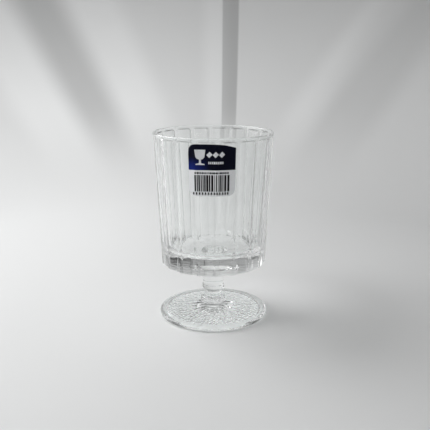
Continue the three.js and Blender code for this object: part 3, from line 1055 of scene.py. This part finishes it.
class GLASS_OT_stage(bpy.types.Operator):
    """Sets the pale floor with its painted light and shade, the soft light and the camera"""
    bl_idname = "icecreamglass.stage"
    bl_label = "Set stage"

    GLASS_BOUNCES = 96
    FLOOR_BOUNCES = 12
    FLOOR_LEVEL = -0.06 * MM  # a thin gap under the foot lets light in
    FLOOR_ROUGHNESS = 0.9
    FLOOR_GLOSS = 0.0
    FLOOR_RADIUS = 0.33
    SWEEP_RADIUS = 0.4
    WALL_TOP = 1.1
    STAGE_SIDES = 96
    SWEEP_STEPS = 24
    # Painted light and shade of soft backdrop creases, one lighter or darker upright band for each fold:
    # place in degrees right of the back, lean in degrees to a metre of height, half width and softness in
    # degrees, and how much lighter or darker
    FOLD_SHADES = (
        (5.7, 0.0, 0.95, 0.3, -0.34), (3.6, 0.0, 0.3, 2.4, 0.1), (-11.3, -35.0, 1.0, 4.5, -0.24),
        (-18.1, -36.0, 2.0, 4.5, 0.14), (-4.4, -34.0, 1.5, 4.0, 0.12), (20.0, 42.0, 2.5, 4.5, -0.12),
        (12.4, 56.0, 1.0, 3.5, 0.1),
    )
    FOLD_FOOT = 0.11
    # Painted shade high on the wall on the right: place, half width and softness in degrees right of the
    # back, and heights
    PATCH_PLACE = 39.0
    PATCH_HALF = 5.7
    PATCH_SOFT = 11.5
    PATCH_RISE = (0.25, 0.34)
    # Heights between which painted shade makes the wall darker, and how much
    DUSK_RISE = (0.05, 0.45)
    DUSK = -0.42
    # Places from left to right between which painted shade, standing for light that falls off away from the
    # lamps, makes floor and wall darker, and how much
    FALL_RUN = (-0.1, 0.7)
    FALL = -0.25
    # Places from left to right where painted shade on floor and wall beside the lamps fades out, and how
    # much darker it makes them
    LAMP_SIDE_SHADE_RUN = (-0.5, -0.05)
    LAMP_SIDE_SHADE = -0.2
    # Places from front to back where the painted shade that glass and gloss show on floor and wall fades
    # out, and how much
    FRONT_SHADE_RUN = (-0.5, -0.15)
    FRONT = -0.4
    # Light that the foot gathers on the floor under it: reach, softness and amount
    GLOW_REACH = 0.033
    GLOW_SOFT = 0.003
    GLOW = 0.95
    # Light that the bowl passes on to the floor beside the foot: place, reach and amount
    PASS_PLACE = (0.055, 0.0, 0.0)
    PASS_REACH = 0.08
    PASS = 0.32
    # Direction of the brightest sky, range of nearness to it, and shares of the sky's level at its ends
    SKY_FACING = (-0.75, 0.2, 0.6)
    SKY_RANGE = (-0.5, 0.9)
    SKY_SHARES = (0.7, 1.2)
    LAMP_PLACE = (-0.52, 0.16, 0.45)
    LAMP_SIZE = (0.8, 0.8)
    LAMP_AIM = (0, 0, 0.06)
    WINDOW_PLACE = (-0.555, 0.17, 0.18)
    WINDOW_SIZE = (0.8, 0.18)
    CAMERA_REACH = 0.426
    CAMERA_HEIGHT = 0.177
    CAMERA_SIDE = math.radians(-3.3)
    CAMERA_PITCH = math.radians(14.12)
    CAMERA_YAW = math.radians(-0.156)
    LENS = 53.916

    def execute(self, context):
        scene = context.scene
        look = scene.glass_stage
        scene.view_settings.view_transform = "Standard"
        scene.cycles.blur_glossy = 0.0
        scene.cycles.max_bounces = self.GLASS_BOUNCES
        scene.cycles.transmission_bounces = self.GLASS_BOUNCES
        scene.cycles.glossy_bounces = self.GLASS_BOUNCES
        scene.cycles.diffuse_bounces = self.FLOOR_BOUNCES
        self.lay_floor(look)
        self.light(scene, look)
        self.aim(scene)
        return {"FINISHED"}

    def lay_floor(self, look):
        points = [Vector((0, self.FLOOR_LEVEL))]
        for step in range(self.SWEEP_STEPS + 1):
            bend = HALF * math.pi * step / self.SWEEP_STEPS
            points.append(Vector((
                self.FLOOR_RADIUS + self.SWEEP_RADIUS * math.sin(bend),
                self.FLOOR_LEVEL + self.SWEEP_RADIUS * (1 - math.cos(bend)))))
        points.append(Vector((self.FLOOR_RADIUS + self.SWEEP_RADIUS, self.FLOOR_LEVEL + self.WALL_TOP)))
        floor = turned("floor", points, even_angles(self.STAGE_SIDES)[::-1])
        material, w, shader = principled("Pale floor")
        place = w.add("ShaderNodeTexCoord").outputs["Object"]
        parts = w.add("ShaderNodeSeparateXYZ", None, {"Vector": place}).outputs
        azimuth = w.math("DEGREES", w.math("ARCTAN2", parts["X"], parts["Y"]))
        # Painted shade: the floor colour turns to the shade colour high on the right of the wall
        aside = w.math("ABSOLUTE", w.minus(azimuth, self.PATCH_PLACE))
        right = w.ramp(aside, self.PATCH_HALF, self.PATCH_HALF + self.PATCH_SOFT, 1.0, 0.0)
        raised = w.ramp(parts["Z"], *self.PATCH_RISE, 0.0, 1.0)
        pale = w.blend((*look.floor, 1.0), (*look.shade, 1.0), w.times(right, raised))
        # Painted light and shade of the creases, as upright bands that fade in above the floor
        fold_shades = 0.0
        for at, lean, half, soft, amount in self.FOLD_SHADES:
            centre = w.plus(w.times(parts["Z"], lean), at)
            aside = w.math("ABSOLUTE", w.minus(azimuth, centre))
            fold_shades = w.plus(fold_shades, w.ramp(aside, half, half + soft, amount, 0.0))
        hung = w.ramp(parts["Z"], self.FLOOR_LEVEL, self.FOLD_FOOT, 0.0, 1.0)
        dusk = w.ramp(parts["Z"], *self.DUSK_RISE, 1.0, 1.0 + self.DUSK)
        fall = w.ramp(parts["X"], *self.FALL_RUN, 1.0, 1.0 + self.FALL, smooth=False)
        tone = w.times(w.plus(1.0, w.times(fold_shades, hung)), dusk)
        reach = w.math("LENGTH", place, kind=VECTOR_MATH)
        glow = w.ramp(reach, self.GLOW_REACH, self.GLOW_REACH + self.GLOW_SOFT, 1.0 + self.GLOW, 1.0)
        beside = w.math("DISTANCE", place, self.PASS_PLACE, kind=VECTOR_MATH)
        passed = w.ramp(beside, 0.0, self.PASS_REACH, 1.0 + self.PASS, 1.0)
        glow = w.math("MAXIMUM", glow, passed)
        tone = w.times(w.times(tone, fall), glow)
        tone = w.times(tone, w.ramp(parts["X"], *self.LAMP_SIDE_SHADE_RUN, 1.0 + self.LAMP_SIDE_SHADE, 1.0))
        # Painted shade on the front of floor and wall, seen only in glass and gloss
        path = w.add("ShaderNodeLightPath").outputs
        shown = w.math("MAXIMUM", path["Is Glossy Ray"], path["Is Transmission Ray"])
        front = w.times(shown, w.ramp(parts["Y"], *self.FRONT_SHADE_RUN, self.FRONT, 0.0))
        tone = w.times(tone, w.plus(1.0, front))
        # Base colour: the pale floor times all its painted light and shade
        w.fill(shader, {
            "Base Color": w.blend(pale, tone, kind="MULTIPLY"),
            "Roughness": self.FLOOR_ROUGHNESS, "Specular IOR Level": self.FLOOR_GLOSS})
        floor.data.materials.append(material)

    def light(self, scene, look):
        world = bpy.data.worlds.new("Soft studio")
        scene.world = world
        world.use_nodes = True
        w = Wiring(world.node_tree)
        ground = world.node_tree.nodes["Background"]
        towards = w.add("ShaderNodeTexCoord").outputs["Generated"]
        brightest = Vector(self.SKY_FACING).normalized()
        facing = w.math("DOT_PRODUCT", towards, brightest, kind=VECTOR_MATH)
        level = w.ramp(facing, *self.SKY_RANGE, *(part * look.sky for part in self.SKY_SHARES))
        path = w.add("ShaderNodeLightPath").outputs
        shown = w.math("MAXIMUM", path["Is Camera Ray"], path["Is Glossy Ray"])
        shown = w.math("MAXIMUM", shown, path["Is Transmission Ray"])
        w.feed(ground.inputs["Color"], w.ramp(shown, 0.0, 1.0, level, look.ceiling, smooth=False))
        lamps = (
            ("window_lamp", self.WINDOW_PLACE, self.WINDOW_SIZE, look.window),
            ("fill_lamp", self.LAMP_PLACE, self.LAMP_SIZE, look.key),
        )
        for name, place, size, power in lamps:
            lamp = bpy.data.lights.new(name, "AREA")
            lamp.shape = "RECTANGLE"
            lamp.size, lamp.size_y = size
            lamp.energy = power
            holder = bpy.data.objects.new(name, lamp)
            scene.collection.objects.link(holder)
            holder.location = place
            aim = Vector(self.LAMP_AIM) - Vector(place)
            holder.rotation_euler = aim.to_track_quat("-Z", "Y").to_euler()
            holder.visible_camera = False
            holder.visible_transmission = name == "window_lamp"
            holder.visible_diffuse = name == "fill_lamp"

    def aim(self, scene):
        camera = bpy.data.cameras.new("camera")
        camera.lens = self.LENS
        holder = bpy.data.objects.new("camera", camera)
        scene.collection.objects.link(holder)
        holder.location = (
            self.CAMERA_REACH * math.sin(self.CAMERA_SIDE),
            -self.CAMERA_REACH * math.cos(self.CAMERA_SIDE), self.CAMERA_HEIGHT)
        holder.rotation_euler = Euler((
            math.pi / 2 - self.CAMERA_PITCH, 0, self.CAMERA_SIDE + self.CAMERA_YAW))
        scene.camera = holder


class GLASS_PT_panel(bpy.types.Panel):
    """Lists the steps that build the ice cream glass"""
    bl_idname = "GLASS_PT_panel"
    bl_label = "Ice cream glass"
    bl_space_type = "VIEW_3D"
    bl_region_type = "UI"
    bl_category = SIDEBAR_TAB

    def draw(self, context):
        for step in STEPS:
            self.layout.operator(step.bl_idname)


STEPS = (GLASS_OT_bowl, GLASS_OT_stem, GLASS_OT_foot, GLASS_OT_label, GLASS_OT_stage)
SETTINGS = {
    "glass_bowl": BowlSizes,
    "glass_stem": StemSizes,
    "glass_foot": FootSizes,
    "glass_label": LabelSizes,
    "glass_look": GlassLook,
    "glass_label_look": LabelLook,
    "glass_stage": StageLook,
}


def register():
    """Registers the classes and hangs their settings on the scene."""
    for cls in (*SETTINGS.values(), *STEPS, GLASS_PT_panel):
        bpy.utils.register_class(cls)
    for name, cls in SETTINGS.items():
        setattr(bpy.types.Scene, name, bpy.props.PointerProperty(type=cls))


def unregister():
    """Takes away what register added."""
    for name in SETTINGS:
        delattr(bpy.types.Scene, name)
    for cls in reversed((*SETTINGS.values(), *STEPS, GLASS_PT_panel)):
        bpy.utils.unregister_class(cls)


def main():
    """Builds the dressed glass."""
    register()
    bpy.ops.icecreamglass.bowl()
    bpy.ops.icecreamglass.stem()
    bpy.ops.icecreamglass.foot()
    bpy.ops.icecreamglass.label()
    bpy.ops.icecreamglass.stage()


if __name__ == "__main__":
    main()
